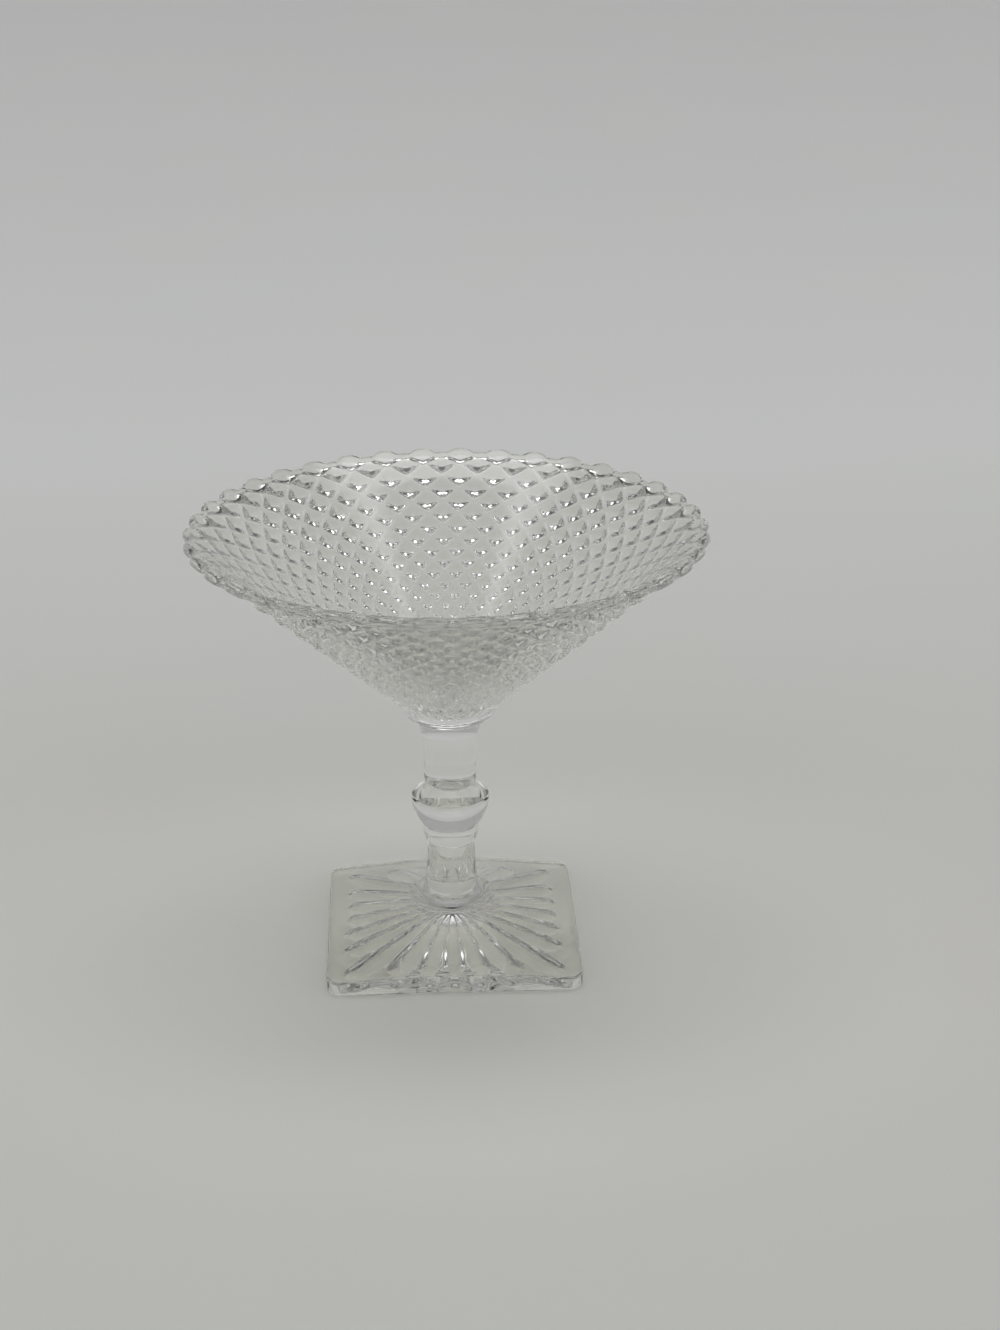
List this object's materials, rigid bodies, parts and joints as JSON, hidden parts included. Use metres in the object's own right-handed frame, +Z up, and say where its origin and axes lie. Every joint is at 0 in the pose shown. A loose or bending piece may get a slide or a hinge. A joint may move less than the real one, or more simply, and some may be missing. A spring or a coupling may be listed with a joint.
{
  "type": "candy bowl",
  "caption": "Clear pressed-glass candy bowl: wide cone covered in diamond points, scalloped rim, knopped stem and a square foot with rays under it.",
  "frame": {"origin": "middle of the square foot's underside, on the surface that the bowl stands on", "axes": "+Z up along the stem, X and Y square to the sides of the foot"},
  "size_m": [0.1524, 0.1518, 0.1335],
  "materials": {
    "clear_glass": "fire-polished clear pressed glass with a faint grey-green tint"
  },
  "bodies": {
    "root": {"foot_plate": "clear_glass", "foot_boss": "clear_glass", "lower_stem": "clear_glass", "bead_ring": "clear_glass", "knop": "clear_glass", "stem_column": "clear_glass", "bowl_collar": "clear_glass", "bowl": "clear_glass"}
  },
  "joints": []
}
